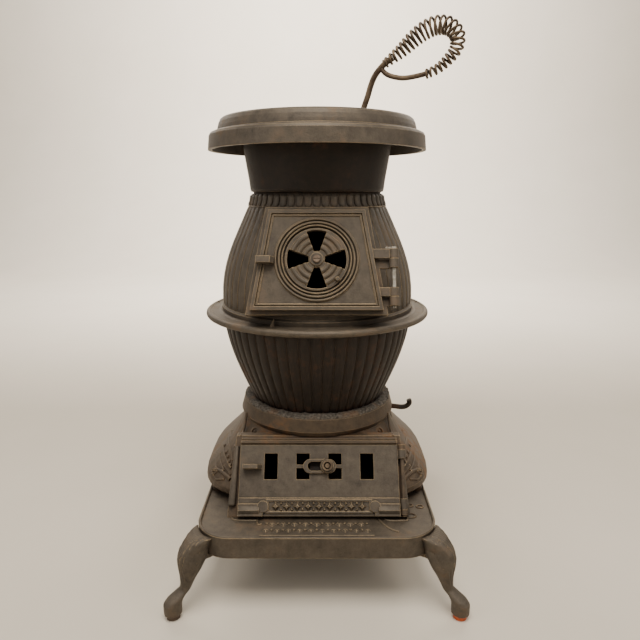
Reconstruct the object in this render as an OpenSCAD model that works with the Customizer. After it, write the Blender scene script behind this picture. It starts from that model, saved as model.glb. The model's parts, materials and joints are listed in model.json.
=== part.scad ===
// Pot-belly wood burning stove in cast iron, on four cabriole legs.
// Millimetres, +Z up, front towards -Y. The origin is the middle of the four feet, on the floor.
// The round sections stand on the pot axis, which lies pot_y behind the origin.

/* [Feet and legs] */
// Thickness of the pad under each foot
pad_t = 7; // [4:0.5:10]
// Radius of the pad under each foot
pad_r = 9; // [7:0.5:12]
// Floor to the lower edge of the hearth plate
leg_height = 81; // [60:1:110]
// Outward reach of a foot's middle from the plate's corner
foot_reach = 50; // [42:0.5:58]
// Direction of each leg in plan, from the sideways axis
leg_angle = 33; // [20:1:60]
// Radius of the bolt under each leg
leg_bolt_r = 3; // [2:0.1:4]

/* [Hearth plate] */
// Half width of the hearth plate
hearth_half_w = 168; // [150:1:200]
// Half depth of the hearth plate
hearth_half_d = 207; // [190:1:240]
// Radius of the plate's corners in plan
hearth_corner = 50; // [40:1:70]
// Height of the plate with its skirt
hearth_h = 29; // [24:1:40]
// Wall of the plate and its skirt
hearth_wall = 6; // [4:0.5:8]
// Distance of the pot axis behind the middle of the plate
pot_y = 24; // [10:1:30]

/* [Ash pit] */
// Height of the ash pit with its collar
pit_h = 126; // [118:1:150]
// Half width of the bulge
pit_half_w = 182; // [172:1:190]
// Half depth of the bulge
pit_half_d = 152; // [146:1:160]
// Outer radius of the collar at its top
collar_r = 121.5; // [116:0.5:130]
// Height of the collar's band
collar_h = 20; // [14:1:26]
// Wall of the ash pit
pit_wall = 7; // [5:0.5:9]

/* [Ash door] */
// Half width of the ash door
ash_half_w = 116; // [110:1:120]
// Length of the ash door up its slope
ash_len = 100; // [92:1:104]
// Lean of the ash door back from upright
ash_lean = 32; // [28:1:36]
// Thickness of both doors
door_t = 6; // [4:0.5:7]
// Width of a draught window
win_w = 19.4; // [14:0.2:22]
// Height of a draught window up the slope
win_h = 36.7; // [28:0.2:40]
// Pitch of the draught windows
win_pitch = 46.8; // [44:0.2:50]
// Travel of the draught slide
draft_travel = 22; // [16:0.5:24]

/* [Fire pot] */
// Outer radius of the fire pot at its foot
fire_foot_r = 98; // [94:0.5:101]
// Outer radius of the fire pot at its top
fire_top_r = 148.5; // [146:0.5:160]
// Height of the fire pot
fire_h = 152; // [130:1:180]
// Wall of the fire pot
fire_wall = 8; // [6:0.5:10]
// Radius of the grate
grate_r = 88; // [80:0.5:89]
// Swing of the grate to each side
grate_swing = 10; // [6:1:12]

/* [Flange] */
// Radius of the flange round the belly
flange_r = 178; // [172:1:190]
// Thickness of the flange
flange_t = 10; // [8:0.5:14]

/* [Feed section] */
// Outer radius of the feed section at its foot
belly_r = 150; // [148:0.5:156]
// Outer radius of the neck
neck_r = 98.6; // [96:0.2:104]
// Height of the feed section
feed_h = 178.6; // [172:0.2:200]
// Wall of the feed section
feed_wall = 7; // [5:0.5:9]
// Inner radius of the flue collar
flue_r = 61.5; // [50:0.5:64]
// Wall of the flue collar
flue_wall = 5; // [3:0.5:6]
// Length of the flue collar behind its flange
flue_len = 35; // [25:1:38]
// Distance from the smoke baffle to the belly's back
baffle_stand = 62; // [50:1:70]
// Thickness of the smoke baffle
baffle_t = 5; // [4:0.5:7]

/* [Feed door] */
// Half width of the feed door at its middle
feed_half_w = 78; // [72:0.5:84]
// Length of the feed door up its slope
feed_door_len = 138; // [126:1:142]
// Narrowing of the feed door's half width from foot to top
feed_taper = 24; // [10:1:30]
// Lean of the feed door back from upright
feed_lean = 19; // [15:1:22]
// Outer radius of the draught register
register_r = 43; // [36:0.5:44]
// Radius of both doors' hinge pins
pin_r = 2.75; // [2:0.05:3.2]

/* [Top] */
// Outer radius of the drum at its top
drum_r = 112.5; // [110:0.5:118]
// Height of the drum
drum_h = 96.4; // [90:0.2:120]
// Wall of the drum
drum_wall = 7; // [5:0.5:9]
// Outer radius of the top plate's rim
rim_r = 165; // [158:1:190]
// Height of the top plate's rim
rim_h = 46; // [42:1:54]
// Radius of the lid
lid_r = 101.2; // [90:0.2:101.2]
// Thickness of the lid
lid_t = 7; // [5:0.5:9]

/* [Clearances] */
// Gap between pieces that move apart
gap = 0.4; // [0.3:0.1:0.6]
// Radial running clearance of a pin in a moving knuckle
run = 0.06; // [0.02:0.01:0.09]
// Radial clearance between the lid and its seat
lid_gap = 0.6; // [0.4:0.1:1]

/* [Hidden] */
$fn = 96;
facets = 48;
steps = 9;
flange_seat_h = 4;

// Levels, from the floor up
plate_top = leg_height + hearth_h;
pit_top = plate_top + pit_h;
pit_seat = pit_top - 14;
grate_z = pit_seat - 17;
flange_z = pit_seat + fire_h;
feed_z = flange_z + flange_t;
neck_top = feed_z + feed_h;
drum_z = neck_top;
plate_under = drum_z + drum_h;
lid_ledge = 5;
lid_z = plate_under + lid_ledge;
top_z = lid_z + lid_t;
rim_z = top_z - rim_h;

// Foot and leg places
corner_x = hearth_half_w - hearth_corner * (1 - cos(45));
corner_y = hearth_half_d - hearth_corner * (1 - sin(45));
tongue_t = 6;
boss_r = 12;
boss_in = 22;

// Fire pot outline, from foot to top, as one curve
fire_curve = [[fire_foot_r, pit_seat], [fire_foot_r + 22, pit_seat + fire_h / 3],
              [fire_top_r - 2.5, pit_seat + 2 * fire_h / 3], [fire_top_r, flange_z]];
collar_bore = fire_foot_r + 12;
cement_r = fire_foot_r + 7.4;
throat_r = grate_r + 2;
ledge_r = grate_r - 6;

// Feed section outline above its straight foot
foot_h = 16;
band_h = 17;
feed_curve = [[belly_r, feed_z + foot_h], [belly_r + 1, feed_z + 81],
              [neck_r + 22.4, feed_z + 121], [neck_r + 4.4, neck_top - band_h + 6]];
flue_z = feed_z + 94;
flue_face = pot_y + belly_r + 4;
flue_flange_t = 6;
flue_flange_r = flue_r + 18.5;
flue_bolt_pcr = flue_r + 11.5;
flue_bolt_r = 2.5;
flue_stop = 2.5;
baffle_half_w = 60;
baffle_half_h = 38;
baffle_z = flue_z - 15;

// Feed door: its frame has x across, y up the slope and z outwards, from the register's centre
feed_door_y = pot_y - belly_r + 12;
feed_door_z = feed_z + 91;
feed_pin_x = feed_half_w + 27;
feed_pin_w = -door_t / 2;
knuckle_r = 6.6;
frame_lip = 6;
feed_rabbet = 12;
feed_slope = feed_taper / feed_door_len;
opening_a = 40;
opening_in = 11;
opening_out = register_r - 2.6;
ring_r = register_r + 1.6;

// Ash door: the same kind of frame, from the middle of the door's face
ash_x = 3;
ash_door_y = pot_y - 157;
ash_door_z = plate_top + 47;
ash_pin_x = ash_half_w + 6;
ash_knuckle_r = 5.5;
band_v = 25;
win_v = 19;
slide_t = 2.6;
slide_w = -door_t - 0.3;
slot_x = 1;
slot_half = draft_travel / 2;
knob_x = slot_x + slot_half;

// Lid lifter: its plane stands upright on lifter_a, u outwards from the pocket
lifter_x = 66;
lifter_y = pot_y - 38;
lifter_a = -24.7;
tongue_w = 12;
tongue_d = 5;
pocket_d = 6;
coil_wire = 1.7;
coil_turns = 24;
coil_steps = 12;
coil_path = [[32, 74], [46.3, 82.6], [60, 92], [73, 102.4], [87.4, 111], [103.4, 115.5], [119.5, 112.8],
    [131, 101], [131, 85], [120.8, 72], [107.6, 61.8], [92, 56]];
lower_arm = [[27, 69], [33, 62], [43, 57], [59, 53.5], [76, 54.3], [94, 57]];
upper_arm = [[0, -4], [0, 10], [3.5, 22], [8, 34], [12, 47], [17.5, 59], [25, 68], [34, 75.5], [44, 81]];

iron = [0.30, 0.27, 0.23];
dark_iron = [0.16, 0.13, 0.11];
rust = [0.42, 0.27, 0.16];
steel = [0.50, 0.47, 0.42];
tan_steel = [0.45, 0.36, 0.25];
pad_red = [0.72, 0.25, 0.12];

// ---- Small tools ----

// Point on a cubic curve through two ends with two guides
function bezier(p, t) = pow(1 - t, 3) * p[0] + 3 * t * pow(1 - t, 2) * p[1]
    + 3 * t * t * (1 - t) * p[2] + pow(t, 3) * p[3];
function curve(p, n) = [for (i = [0:n]) bezier(p, i / n)];
function inward(points, wall) = [for (p = points) [p[0] - wall, p[1]]];
function back(points) = [for (i = [len(points) - 1:-1:0]) points[i]];
function arc(r, a0, a1, n) = [for (i = [0:n]) let (a = a0 + (a1 - a0) * i / n) r * [cos(a), sin(a)]];
function unit(v) = v / norm(v);
function signed_pow(x, e) = sign(x) * pow(abs(x), e);

// Smooth curve through points, at parameter t from 0 to len - 1
function spline(p, t) = let (i = min(floor(t), len(p) - 2), f = t - i,
    a = p[max(i - 1, 0)], b = p[i], c = p[i + 1], d = p[min(i + 2, len(p) - 1)])
    0.5 * (2 * b + (c - a) * f + (2 * a - 5 * b + 4 * c - d) * f * f
    + (3 * b - a - 3 * c + d) * pow(f, 3));
function route(p, n) = [for (i = [0:n]) spline(p, i * (len(p) - 1) / n)];

// Closed skin over rings that all have the same number of points
module skin(rings) {
    n = len(rings[0]);
    last = len(rings) - 1;
    sides = [for (k = [0:last - 1], i = [0:n - 1]) let (j = (i + 1) % n, a = k * n, b = a + n)
        each [[a + i, b + j, a + j], [a + i, b + i, b + j]]];
    bottom = [for (i = [1:n - 2]) [0, i, i + 1]];
    top = [for (i = [1:n - 2]) [last * n, last * n + i + 1, last * n + i]];
    polyhedron(points = [for (ring = rings) each ring], faces = concat(sides, bottom, top));
}

// Round bar along a route of points in the XZ plane
module bar(points, r, sides) {
    last = len(points) - 1;
    skin([for (i = [0:last])
        let (d = unit(points[min(i + 1, last)] - points[max(i - 1, 0)]))
        [for (s = [0:sides - 1]) let (a = 360 * s / sides)
            [points[i][0] - r * cos(a) * d[1], -r * sin(a), points[i][1] + r * cos(a) * d[0]]]]);
}

module on_pot() {
    translate([0, pot_y, 0]) children();
}

module revolve(points) {
    on_pot() rotate_extrude() polygon(points);
}

module rounded_plate(half_w, half_d, r, h) {
    linear_extrude(h) {
        square([2 * (half_w - r), 2 * half_d], center = true);
        square([2 * half_w, 2 * (half_d - r)], center = true);
        for (x = [-1, 1], y = [-1, 1])
            translate([x * (half_w - r), y * (half_d - r)]) circle(r);
    }
}

module slot_shape(half_len, r, h) {
    linear_extrude(h) {
        square([2 * half_len, 2 * r], center = true);
        for (x = [-1, 1])
            translate([x * half_len, 0]) circle(r);
    }
}

module at_corners() {
    for (x = [-1, 1], y = [-1, 1])
        translate([x * corner_x, y * corner_y, 0])
            rotate([0, 0, atan2(y * sin(leg_angle), x * cos(leg_angle))]) children();
}

module on_feed_door() {
    translate([0, feed_door_y, feed_door_z]) rotate([90 - feed_lean, 0, 0]) children();
}

module on_ash_door() {
    translate([ash_x, ash_door_y, ash_door_z]) rotate([90 - ash_lean, 0, 0]) children();
}

// A pin, eye or bore along a door's slope, from v0 to v1
module along_slope(u, w, r, v0, v1) {
    translate([u, v0, w]) rotate([-90, 0, 0]) cylinder(r = r, h = v1 - v0);
}

module block(u0, u1, v0, v1, w0, w1) {
    translate([u0, v0, w0]) cube([u1 - u0, v1 - v0, w1 - w0]);
}

// ---- Feet, legs and hearth ----

module foot_pads() {
    color(pad_red) at_corners() translate([foot_reach, 0, 0]) cylinder(r = pad_r, h = pad_t);
}

// Ring of a leg: an ellipse between its inner and outer face
function leg_ring(z, s0, s1, half) = [for (i = [0:19]) let (a = 18 * i)
    [(s0 + s1) / 2 + (s1 - s0) / 2 * cos(a), half * sin(a), z]];
function leg_z(f) = pad_t + f * (leg_height - pad_t);

// Rows of level, inner face, outer face and half width, as shares of the leg's height below the plate
leg_rows = [[0, -12.5, 12.5, 12], [0.1, -12.5, 12.5, 12], [0.2, -13, 12.5, 12], [0.27, -15, 8, 11.5],
    [0.34, -18.5, -1, 10], [0.42, -25.5, -11.5, 9]];
knee_rows = [[0.52, 20, 37.5, 9.5], [0.64, 15, 37.5, 11.5], [0.77, 8, 38.5, 14.5], [0.89, 2, 39.5, 17.5],
    [1.02, -4, 39.5, 21], [1.13, -8, 36.5, 24], [1.22, -10, 30, 26], [1.3, -12, 23, 27.5], [1.36, -14, 12, 29]];

module leg_place(x, y) {
    translate([x * corner_x, y * corner_y, 0])
        rotate([0, 0, atan2(y * sin(leg_angle), x * cos(leg_angle))]) children();
}

// The knee hugs the corner of the plate's skirt, and its tongue lies under the plate's boss
module leg(x, y) {
    color(iron) difference() {
        union() {
            difference() {
                leg_place(x, y) skin(concat(
                    [for (r = leg_rows) leg_ring(leg_z(r[0]), foot_reach + r[1], foot_reach + r[2], r[3])],
                    [for (r = knee_rows) leg_ring(min(leg_z(r[0]), plate_top - 2), r[1], r[2], r[3])]));
                translate([0, 0, leg_height - gap])
                    rounded_plate(hearth_half_w + gap, hearth_half_d + gap, hearth_corner + gap, hearth_h + 4);
            }
            leg_place(x, y) translate([-boss_in - boss_r, -9, leg_height - tongue_t])
                cube([boss_in + boss_r + 12, 18, tongue_t]);
        }
        leg_place(x, y) translate([-boss_in, 0, leg_height - tongue_t - 1])
            cylinder(r = leg_bolt_r + gap, h = tongue_t + 2);
    }
}

module hex_bolt(r, grip) {
    translate([0, 0, -r * 1.4]) cylinder(r = r * 1.9, h = r * 1.4, $fn = 6);
    cylinder(r = r, h = grip);
}

module leg_bolts() {
    color(steel) at_corners() translate([-boss_in, 0, leg_height - tongue_t])
        hex_bolt(leg_bolt_r, tongue_t + 16);
}

pit_bolt_x = pit_half_w - 27;
pit_bolt_y = pit_half_d - 52;
pit_bolt_r = 3;

module at_pit_bolts() {
    on_pot() for (x = [-1, 1], y = [-1, 1])
        translate([x * pit_bolt_x, y * pit_bolt_y, 0]) children();
}

module hearth_plate() {
    color(iron) difference() {
        union() {
            difference() {
                translate([0, 0, leg_height])
                    rounded_plate(hearth_half_w, hearth_half_d, hearth_corner, hearth_h);
                translate([0, 0, leg_height - 1])
                    rounded_plate(hearth_half_w - hearth_wall, hearth_half_d - hearth_wall,
                        hearth_corner - hearth_wall, hearth_h - hearth_wall + 1);
            }
            difference() {
                translate([0, 0, plate_top - 1])
                    rounded_plate(hearth_half_w, hearth_half_d, hearth_corner, 2.6);
                translate([0, 0, plate_top])
                    rounded_plate(hearth_half_w - 3.5, hearth_half_d - 3.5, hearth_corner - 3.5, 3);
            }
            at_corners() translate([-boss_in, 0, leg_height]) cylinder(r = boss_r, h = hearth_h - 2);
        }
        at_corners() translate([-boss_in, 0, leg_height - 1]) cylinder(r = leg_bolt_r, h = 17);
        at_pit_bolts() translate([0, 0, plate_top - hearth_wall - 1])
            cylinder(r = pit_bolt_r + gap, h = hearth_wall + 2);
    }
}

// ---- Ash pit ----

// Ring of the bulging body: a rounded square of the given half sizes and squareness
function pit_ring(z, a, b, n) = [for (i = [0:facets - 1]) let (t = 360 * i / facets)
    [a * signed_pow(cos(t), 2 / n), b * signed_pow(sin(t), 2 / n) + pot_y, z]];

// Rows of height share, sideways drop from the widest half width, drop in depth, squareness
pit_rows = [[0, 20, 9, 3.4], [0.025, 19, 8, 3.4], [0.06, 5, 3, 3.4], [0.11, 0, 0, 3.4], [0.18, 1, 0, 3.4],
    [0.25, 6, 1, 3.3],
    [0.32, 13, 2.5, 3.2], [0.4, 21, 5.5, 3.1], [0.48, 29.5, 9, 3], [0.56, 37.5, 13, 2.9], [0.64, 44.5, 17.5, 2.7],
    [0.74, 51, 23, 2.5], [0.84, 56, 28, 2.3], [0.93, 60, 31.5, 2.1]];
shoulder_h = pit_h - collar_h;

function pit_skin(shrink, z0, z1) = concat(
    [for (r = pit_rows) pit_ring(plate_top + r[0] * shoulder_h + (r[0] == 0 ? z0 : 0),
        pit_half_w - r[1] - shrink, pit_half_d - r[2] - shrink, r[3])],
    [pit_ring(plate_top + shoulder_h + z1, collar_r - 2 - shrink, collar_r - 2 - shrink, 2)]);

// Front block whose sloping face carries the ash door; it widens towards the hearth
module front_block(grow, w0, w1) {
    on_ash_door() translate([-ash_x, 0, w0]) linear_extrude(w1 - w0)
        polygon([[-ash_half_w - 14 - grow, -70], [ash_half_w + 16 + grow, -70],
            [ash_half_w + 8 + grow, 70], [-ash_half_w - 4 - grow, 70]]);
}

module slab(z0, z1) {
    translate([-300, -300, z0]) cube([600, 600, z1 - z0]);
}

shaker_z = grate_z + 4;
slot_a = grate_swing + 4;

module ash_pit() {
    color(iron) difference() {
        union() {
            difference() {
                skin(pit_skin(0, 0, 0));
                skin(pit_skin(pit_wall, -1, -pit_wall));
            }
            intersection() {
                difference() {
                    front_block(0, -95, -door_t - gap);
                    skin(pit_skin(pit_wall, -1, -pit_wall));
                }
                slab(plate_top, plate_top + shoulder_h - 8);
            }
            on_ash_door() {
                block(-ash_half_w, ash_half_w, ash_len / 2 + 1.5, ash_len / 2 + 7, -30, 0.5);
                block(-ash_half_w + 1, ash_half_w - 1, ash_len / 2 + 7, ash_len / 2 + 10, -30, -3);
            }
            revolve([[throat_r, grate_z + 3], [ledge_r, grate_z], [ledge_r, grate_z - 6],
                [ledge_r + 16, grate_z - 6], [collar_r + 2, plate_top + shoulder_h - pit_wall],
                [collar_r + 5, plate_top + shoulder_h], [collar_r, pit_top - 2],
                [collar_r - 2, pit_top], [collar_bore, pit_top], [collar_bore, pit_seat],
                [throat_r, pit_seat]]);
            revolve([[throat_r - 1, grate_z], [throat_r + 8, grate_z], [throat_r + 8, pit_seat],
                [throat_r, pit_seat], [throat_r, grate_z + 3]]);
            at_pit_bolts() translate([0, 0, plate_top]) cylinder(r = 9, h = 16);
            on_ash_door() {
                ash_pin_lug(-48, -41);
                ash_pin_lug(43, 50);
            }
        }
        // Seat of the door, then the way behind it
        on_ash_door() block(-ash_half_w - gap, ash_half_w + gap, -ash_len / 2 - gap,
            ash_len / 2 + gap, -door_t - gap, 60);
        on_ash_door() block(-ash_half_w + 8, ash_half_w - 8, -ash_len / 2 + 8, ash_len / 2 - 3, -150, 0);
        // Room for the grate, its ledge kept
        on_pot() translate([0, 0, grate_z]) cylinder(r = throat_r, h = 30);
        on_pot() translate([0, 0, grate_z - 20]) cylinder(r = ledge_r, h = 40);
        // Slot for the shaker handle
        on_pot() translate([0, 0, shaker_z - 11]) linear_extrude(20)
            polygon([[40, -40 * tan(slot_a)], [200, -200 * tan(slot_a)],
                [200, 200 * tan(slot_a)], [40, 40 * tan(slot_a)]]);
        at_pit_bolts() translate([0, 0, plate_top - 1]) cylinder(r = pit_bolt_r, h = 13);
        on_ash_door() along_slope(ash_pin_x, 0, pin_r, -60, 60);
        slab(0, plate_top);
    }
}

module ash_pin_lug(v0, v1) {
    along_slope(ash_pin_x, 0, ash_knuckle_r, v0, v1);
    block(ash_pin_x - 4, ash_pin_x + 4, v0, v1, -door_t - 6, 0);
}

module pit_bolts() {
    color(steel) at_pit_bolts() translate([0, 0, plate_top - hearth_wall])
        hex_bolt(pit_bolt_r, hearth_wall + 12);
}

// ---- Ash door and draught slide ----

module at_windows() {
    for (i = [-1.5:1.5])
        translate([i * win_pitch, win_v, 0]) children();
}

module ash_door() {
    color(iron) on_ash_door() difference() {
        union() {
            difference() {
                block(-ash_half_w, ash_half_w, -ash_len / 2, ash_len / 2, -door_t, 0);
                at_windows() block(-win_w / 2, win_w / 2, -win_h / 2, win_h / 2, -door_t - 1, 1);
            }
            // Foot band with its framed panel and two brackets
            block(-ash_half_w, ash_half_w, -ash_len / 2, -band_v, -1, 2);
            block(-76, 76, -ash_len / 2 + 4, -band_v - 2, 1, 4);
            for (x = [-1, 1]) {
                block(min(x * 80, x * ash_half_w), max(x * 80, x * ash_half_w),
                    -ash_len / 2, -band_v - 8, 0, 5);
                translate([x * 80, -37, 0]) cylinder(r = 8, h = 5.5);
            }
            // Slot frame and the rib that carries it across the two middle windows
            translate([slot_x, win_v, -door_t]) slot_shape(slot_half + 3, 10, door_t + 4);
            block(-win_pitch / 2 - win_w / 2 - 1, win_pitch / 2 + win_w / 2 + 1,
                win_v - 2.5, win_v + 2.5, -door_t + 1, 0);
            // Lifting lug at the free edge
            translate([-97, win_v - 4, -1]) rotate([-90, 0, 0])
                linear_extrude(6) polygon([[-13, 0], [13, 0], [13, -10], [8, -17], [-13, -17]]);
            // Knuckles
            for (v = [[-40.6, -26], [30, 42.6]]) {
                along_slope(ash_pin_x, 0, ash_knuckle_r, v[0], v[1]);
                block(ash_half_w - 4, ash_pin_x, v[0], v[1], -door_t + 1, 0);
            }
            // Guides behind the door that hold the slide
            for (s = [-1, 1])
                translate([0, win_v + s * (win_h / 2 + 4.4), 0]) {
                    block(-104, 104, -2, 2, -door_t - slide_t - 0.6, -door_t + 1);
                    block(-104, 104, min(-4 * s, 2 * s), max(-4 * s, 2 * s),
                        -door_t - slide_t - 2.8, -door_t - slide_t - 0.6);
                }
        }
        translate([slot_x, win_v, -door_t - 1]) slot_shape(slot_half, 6.4, door_t + 6);
        block(-72, 72, -ash_len / 2 + 7, -band_v - 5, 2.5, 5);
        along_slope(ash_pin_x, 0, pin_r + run, -60, 60);
    }
}

module ash_door_pin() {
    color(steel) on_ash_door() {
        along_slope(ash_pin_x, 0, pin_r, -48, 50);
        along_slope(ash_pin_x, 0, 4, -50.5, -48);
    }
}

module draft_slide() {
    color(dark_iron) on_ash_door() difference() {
        block(-1.5 * win_pitch - win_w / 2 - 3, 1.5 * win_pitch + win_w / 2 + draft_travel + 3,
            win_v - win_h / 2 - 2, win_v + win_h / 2 + 2, slide_w - slide_t, slide_w);
        at_windows() block(-win_w / 2, win_w / 2, -win_h / 2, win_h / 2, -20, 1);
        translate([knob_x, win_v, -20]) cylinder(r = 3, h = 20);
    }
}

module on_knob() {
    on_ash_door() translate([knob_x, win_v, 0]) children();
}

module draft_knob() {
    color(tan_steel) on_knob() {
        translate([0, 0, slide_w - slide_t]) cylinder(r = 3, h = 10 - slide_w + slide_t);
        difference() {
            translate([0, 0, 6.4]) cylinder(r = 7.3, h = 8);
            translate([0, 0, 10]) cylinder(r = 5.2, h = 5);
        }
        translate([0, 0, 9]) cylinder(r1 = 3.8, r2 = 3.2, h = 4.6);
    }
}

module draft_washer() {
    color(iron) on_knob() difference() {
        translate([0, 0, 4.4]) cylinder(r1 = 10.5, r2 = 9.5, h = 2);
        translate([0, 0, 4]) cylinder(r = 3, h = 3);
    }
}

module draft_nut() {
    color(steel) on_knob() translate([0, 0, slide_w - slide_t - 3]) cylinder(r = 6, h = 3, $fn = 6);
}

// ---- Grate and its handle ----

module grate() {
    color(dark_iron) on_pot() difference() {
        union() {
            translate([0, 0, grate_z + gap]) cylinder(r = grate_r, h = 8);
            translate([grate_r - 8, -5, grate_z + gap]) cube([36, 10, 3.6]);
        }
        for (i = [-3:3], s = [-1, 1]) {
            reach = sqrt(pow(grate_r - 9, 2) - pow(abs(i) * 20 + 5, 2));
            translate([i * 20, s * reach / 2, grate_z - 1])
                linear_extrude(12) square([9, reach - 9], center = true);
        }
        translate([grate_r + 22, 0, grate_z - 1]) cylinder(r = 2, h = 12);
    }
}

module shaker_handle() {
    x0 = grate_r + 14;
    z0 = grate_z + gap + 3.6;
    color(dark_iron) on_pot() difference() {
        union() {
            translate([x0, -5, z0]) cube([22, 10, 4.4]);
            bar(route([[x0 + 17, z0 + 0.2], [x0 + 30, z0 - 1], [x0 + 42, z0 - 2.4],
                [x0 + 50, z0 - 0.6], [x0 + 55, z0 + 5], [x0 + 53.5, z0 + 11]], 18), 4.2, 12);
        }
        translate([grate_r + 22, 0, z0 - 2]) cylinder(r = 2, h = 12);
    }
}

module shaker_pin() {
    color(steel) on_pot() translate([grate_r + 22, 0, grate_z + gap]) {
        cylinder(r = 2, h = 8);
        translate([0, 0, 8]) cylinder(r = 3.6, h = 1.6);
    }
}

// ---- Fire pot, flange and feed section ----

module fire_pot() {
    outer = curve(fire_curve, steps);
    color(dark_iron) revolve(concat(outer, back(inward(outer, fire_wall))));
}

module cement_ring() {
    color(rust) revolve([[cement_r, pit_top - 7], [collar_bore, pit_top - 7],
        [collar_bore, pit_top], [cement_r + 1.4, pit_top + 1.4]]);
}

module pot_flange() {
    bead = flange_t / 2;
    hole_a = 11;
    color(iron) difference() {
        revolve(concat(
            [[fire_top_r - fire_wall, flange_z], [fire_top_r + 0.5, flange_z],
             [fire_top_r + 1, flange_z - flange_seat_h], [fire_top_r + 5, flange_z - flange_seat_h],
             [fire_top_r + 9, flange_z]],
            [for (p = arc(bead, -90, 90, 8)) [flange_r - bead, flange_z + bead] + p],
            [[flange_r - 9, feed_z - 1.6], [belly_r + 8, feed_z - 1], [belly_r + 5, feed_z],
             [fire_top_r - fire_wall, feed_z]]));
        for (side = [-1, 1])
            on_pot() rotate([0, 0, 90 - side * (90 - hole_a)])
                translate([flange_r - 8, 0, flange_z - 1]) cylinder(r = 2.5, h = flange_t + 2);
    }
}

// Solid inside the feed section's walls
module feed_core() {
    inner = inward(curve(feed_curve, steps), feed_wall);
    revolve(concat([[0, feed_z - 1], [belly_r - feed_wall, feed_z - 1]], inner,
        [[neck_r - 9, neck_top - band_h + 8], [neck_r - 9, neck_top + 1], [0, neck_top + 1]]));
}

// Outline of the feed door, moved out by grow
module feed_outline(grow) {
    v0 = -feed_door_len / 2 - grow;
    v1 = feed_door_len / 2 + grow;
    h0 = feed_half_w - feed_slope * v0 + grow;
    h1 = feed_half_w - feed_slope * v1 + grow;
    polygon([[-h0, v0], [h0, v0], [h1, v1], [-h1, v1]]);
}

module pin_lug(v0, v1) {
    along_slope(feed_pin_x, feed_pin_w, knuckle_r, v0, v1);
    block(feed_half_w - 8, feed_pin_x, v0, v1, -door_t - gap - 6, -door_t - gap);
}

upper_knuckle = [2.2, 15];
lower_knuckle = [-50, -38];
knuckle_len = 12.5;

module feed_section() {
    outer = curve(feed_curve, steps);
    color(iron) difference() {
        union() {
            revolve(concat([[0, feed_z], [belly_r + 2.5, feed_z], [belly_r + 2.5, feed_z + 6],
                [belly_r, feed_z + 9]], outer,
                [[neck_r + 3.4, neck_top - 4], [neck_r, neck_top], [0, neck_top]]));
            intersection() {
                on_feed_door() translate([0, 0, -80])
                    linear_extrude(80 - door_t - gap) feed_outline(frame_lip);
                slab(feed_z + 12, neck_top - band_h);
            }
            translate([0, flue_face, flue_z]) rotate([90, 0, 0])
                cylinder(r = flue_flange_r, h = 70);
            on_feed_door() {
                pin_lug(upper_knuckle[0] - knuckle_len - gap, upper_knuckle[0] - gap);
                pin_lug(lower_knuckle[0] - knuckle_len - gap, lower_knuckle[0] - gap);
            }
        }
        feed_core();
        // Seat of the door, then the way behind it
        on_feed_door() translate([0, 0, -door_t - gap]) linear_extrude(60) feed_outline(gap);
        on_feed_door() translate([0, 0, -90]) linear_extrude(100) feed_outline(-feed_rabbet);
        translate([0, flue_face + 1, flue_z]) rotate([90, 0, 0]) cylinder(r = flue_r - flue_stop, h = 90);
        at_flue_bolts() translate([0, 0, -1]) cylinder(r = flue_bolt_r, h = 10);
        on_feed_door() along_slope(feed_pin_x, feed_pin_w, pin_r, -100, 60);
    }
}

// ---- Feed door and register ----

module wedge_openings(h) {
    for (a = [0, 90, 180, 270])
        rotate([0, 0, a - opening_a / 2]) linear_extrude(h)
            polygon(concat(arc(opening_in, 0, opening_a, 6), arc(opening_out, opening_a, 0, 12)));
}

// Half-round bead on a ring
module ring_bead(r, half, rise) {
    rotate_extrude() polygon([for (p = arc(1, 180, 0, 8)) [r + half * p[0], rise * p[1]]]);
}

module feed_door() {
    color(iron) on_feed_door() difference() {
        union() {
            translate([0, 0, -door_t]) linear_extrude(door_t) feed_outline(0);
            difference() {
                translate([0, 0, -1]) linear_extrude(3.5) feed_outline(0);
                translate([0, 0, -2]) linear_extrude(7) feed_outline(-5);
            }
            difference() {
                translate([0, 0, -1]) linear_extrude(2.4) feed_outline(-6.5);
                translate([0, 0, -2]) linear_extrude(7) feed_outline(-8.5);
            }
            ring_bead(ring_r + 11.5, 2.2, 3);
            ring_bead(ring_r + 6.6, 2.4, 4);
            ring_bead(ring_r + 2.2, 2, 4.6);
            // Lifting lug at the free edge
            translate([-70, -6, -1]) rotate([-90, 0, 0])
                linear_extrude(9) polygon([[-12, 0], [12, 0], [12, -8], [7, -14], [-12, -14]]);
            for (v = [upper_knuckle, lower_knuckle]) {
                along_slope(feed_pin_x, feed_pin_w, knuckle_r, v[0], v[1]);
                block(feed_half_w - 12, feed_pin_x, v[0], v[1], -door_t + 0.4, 0);
            }
        }
        translate([0, 0, -door_t - 1]) wedge_openings(door_t + 2);
        translate([0, 0, -door_t - 1]) cylinder(r = screw_r, h = door_t + 2);
        along_slope(feed_pin_x, feed_pin_w, pin_r + run, -100, 60);
    }
}

module feed_door_pin() {
    color(steel) on_feed_door() {
        v0 = lower_knuckle[0] - knuckle_len - gap - 3;
        v1 = upper_knuckle[1] + gap;
        along_slope(feed_pin_x, feed_pin_w, pin_r, v0, v1);
        along_slope(feed_pin_x, feed_pin_w, 4.6, v1, v1 + 2.4);
        block(feed_pin_x - 11, feed_pin_x, v1, v1 + 2.4, feed_pin_w - 2.4, feed_pin_w + 2.4);
    }
}

screw_r = 2.5;
disc_w = 0.4;
disc_t = 3;

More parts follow.
